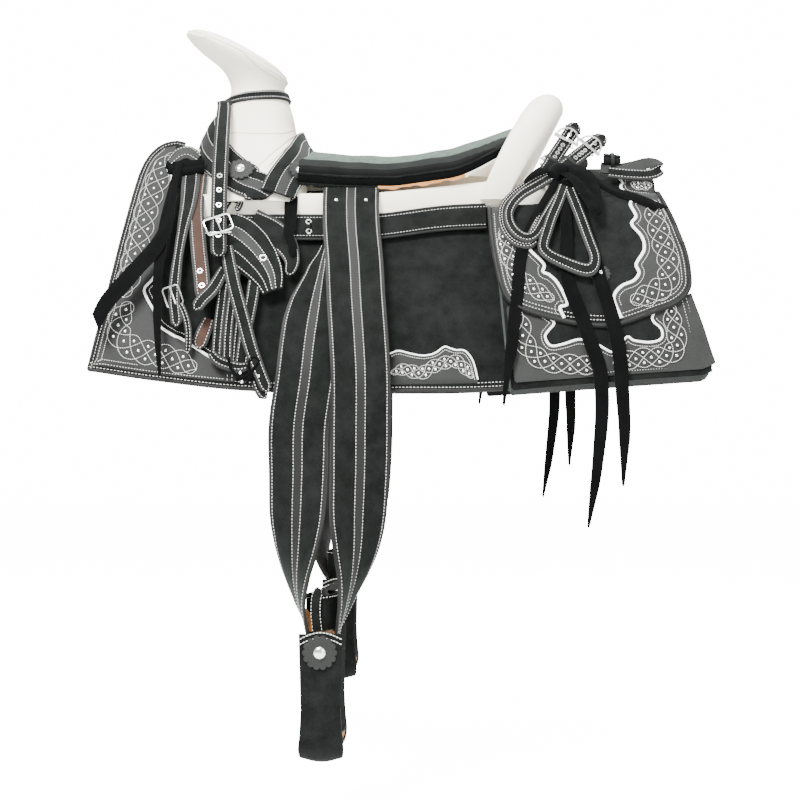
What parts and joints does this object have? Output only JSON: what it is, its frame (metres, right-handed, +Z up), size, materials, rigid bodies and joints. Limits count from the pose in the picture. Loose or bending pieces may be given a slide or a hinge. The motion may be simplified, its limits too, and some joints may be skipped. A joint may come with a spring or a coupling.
{
  "type": "square skirt saddle",
  "caption": "Riding saddle with a rawhide tree and horn, padded seat, square skirts, saddle bags with lifting flaps, and hanging stirrups on twisted leathers.",
  "frame": {"origin": "on the horse's midline at the height of the bars, in the middle of the skirts' length", "axes": "+Z up, +X towards the horse's tail, -Y towards the horse's left (near) side"},
  "size_m": [0.804, 0.759, 0.9778],
  "materials": {
    "rawhide": "bare cream rawhide, waxed",
    "natural_leather": "tan, undyed",
    "black_suede": "black suede",
    "fleece": "clipped wool",
    "charcoal_leather": "matt, stitched in white",
    "brown_leather": "matt brown",
    "wood": "oiled",
    "nickel_steel": "nickel plated"
  },
  "bodies": {
    "root": {"bag_body_left": "black_suede", "bag_body_right": "black_suede", "bag_yoke": "charcoal_leather", "bar_left": "rawhide", "bar_right": "rawhide", "cantle": "rawhide", "fleece_left": "fleece", "fleece_right": "fleece", "fork_and_horn": "rawhide", "fork_band_back": "charcoal_leather", "fork_band_front": "charcoal_leather", "front_spare_strap_left": "brown_leather", "front_spare_strap_right": "brown_leather", "ground_seat": "natural_leather", "horn_strap_loop": "charcoal_leather", "jockey_left": "charcoal_leather", "jockey_right": "charcoal_leather", "rear_strap_front_left": "charcoal_leather", "rear_strap_front_right": "charcoal_leather", "rear_strap_rear_left": "charcoal_leather", "rear_strap_rear_right": "charcoal_leather", "seat_cover": "black_suede", "skirt_front_overlay_left": "charcoal_leather", "skirt_front_overlay_right": "charcoal_leather", "skirt_left": "black_suede", "skirt_middle_overlay_left": "charcoal_leather", "skirt_middle_overlay_right": "charcoal_leather", "skirt_right": "black_suede"},
    "stirrup_leathers_left": {"stirrup_leather_front_left": "black_suede", "stirrup_leather_rear_left": "black_suede"},
    "stirrup_body_left": {"stirrup_roller_left": "wood", "stirrup_left": "wood", "stirrup_cover_left": "black_suede", "stirrup_rosette_left": "charcoal_leather"},
    "flap_left": {"bag_flap_left": "charcoal_leather"},
    "strings_left": {"crupper_straps_left": "charcoal_leather", "saddle_strings_left": "black_suede"},
    "latigo_bundle_left": {"latigo_left": "charcoal_leather", "latigo_end_left": "charcoal_leather", "latigo_lace_left": "charcoal_leather"},
    "front_bundle_left": {"front_strap_left": "charcoal_leather", "front_tie_left": "black_suede"},
    "stirrup_leathers_right": {"stirrup_leather_front_right": "black_suede", "stirrup_leather_rear_right": "black_suede"},
    "stirrup_body_right": {"stirrup_roller_right": "wood", "stirrup_right": "wood", "stirrup_cover_right": "black_suede", "stirrup_rosette_right": "charcoal_leather"},
    "flap_right": {"bag_flap_right": "charcoal_leather"},
    "strings_right": {"crupper_straps_right": "charcoal_leather", "saddle_strings_right": "black_suede"},
    "latigo_bundle_right": {"latigo_right": "charcoal_leather", "latigo_end_right": "charcoal_leather", "latigo_lace_right": "charcoal_leather"},
    "front_bundle_right": {"front_strap_right": "charcoal_leather", "front_tie_right": "black_suede"},
    "horn_strap_bundle": {"horn_strap": "charcoal_leather", "horn_buckle": "nickel_steel"}
  },
  "joints": [
    {"name": "stirrup_leathers_left_swing", "type": "hinge", "parent": "root", "child": "stirrup_leathers_left", "pos_m": [-0.066, -0.15496, 0.0107], "axis": [-1, 0, 0], "range_deg": [0, 80]},
    {"name": "stirrup_left_swing", "type": "hinge", "parent": "stirrup_leathers_left", "child": "stirrup_body_left", "pos_m": [-0.097, -0.3, -0.578], "axis": [0, 1, 0], "range_deg": [-40, 40]},
    {"name": "bag_flap_left_lift", "type": "hinge", "parent": "root", "child": "flap_left", "pos_m": [0.119, -0.18994, -0.01385], "axis": [-0.9925, -0.0703, -0.1], "range_deg": [0, 80]},
    {"name": "saddle_strings_left_swing", "type": "hinge", "parent": "root", "child": "strings_left", "pos_m": [0.222, -0.15375, 0.04175], "axis": [-1, 0, 0], "range_deg": [0, 80]},
    {"name": "latigo_left_swing", "type": "hinge", "parent": "root", "child": "latigo_bundle_left", "pos_m": [-0.189, -0.16436, -0.00416], "axis": [-1, 0, 0], "range_deg": [0, 60]},
    {"name": "front_straps_left_swing", "type": "hinge", "parent": "root", "child": "front_bundle_left", "pos_m": [-0.29, -0.11786, 0.06185], "axis": [-1, 0, 0], "range_deg": [0, 60]},
    {"name": "stirrup_leathers_right_swing", "type": "hinge", "parent": "root", "child": "stirrup_leathers_right", "pos_m": [-0.066, 0.15496, 0.0107], "axis": [1, 0, 0], "range_deg": [0, 80]},
    {"name": "stirrup_right_swing", "type": "hinge", "parent": "stirrup_leathers_right", "child": "stirrup_body_right", "pos_m": [-0.097, 0.3, -0.578], "axis": [0, 1, 0], "range_deg": [-40, 40]},
    {"name": "bag_flap_right_lift", "type": "hinge", "parent": "root", "child": "flap_right", "pos_m": [0.119, 0.18994, -0.01385], "axis": [0.9925, -0.0703, 0.1], "range_deg": [0, 80]},
    {"name": "saddle_strings_right_swing", "type": "hinge", "parent": "root", "child": "strings_right", "pos_m": [0.222, 0.15375, 0.04175], "axis": [1, 0, 0], "range_deg": [0, 80]},
    {"name": "latigo_right_swing", "type": "hinge", "parent": "root", "child": "latigo_bundle_right", "pos_m": [-0.189, 0.16436, -0.00416], "axis": [1, 0, 0], "range_deg": [0, 60]},
    {"name": "front_straps_right_swing", "type": "hinge", "parent": "root", "child": "front_bundle_right", "pos_m": [-0.29, 0.11786, 0.06185], "axis": [1, 0, 0], "range_deg": [0, 60]},
    {"name": "horn_strap_swing", "type": "hinge", "parent": "root", "child": "horn_strap_bundle", "pos_m": [-0.24677, -0.02964, 0.1742], "axis": [-1, 0, 0], "range_deg": [0, 60]}
  ],
  "couplings": [
    {"joint": "saddle_strings_left_swing", "follows": "bag_flap_left_lift", "ratio": 1},
    {"joint": "saddle_strings_right_swing", "follows": "bag_flap_right_lift", "ratio": 1}
  ]
}
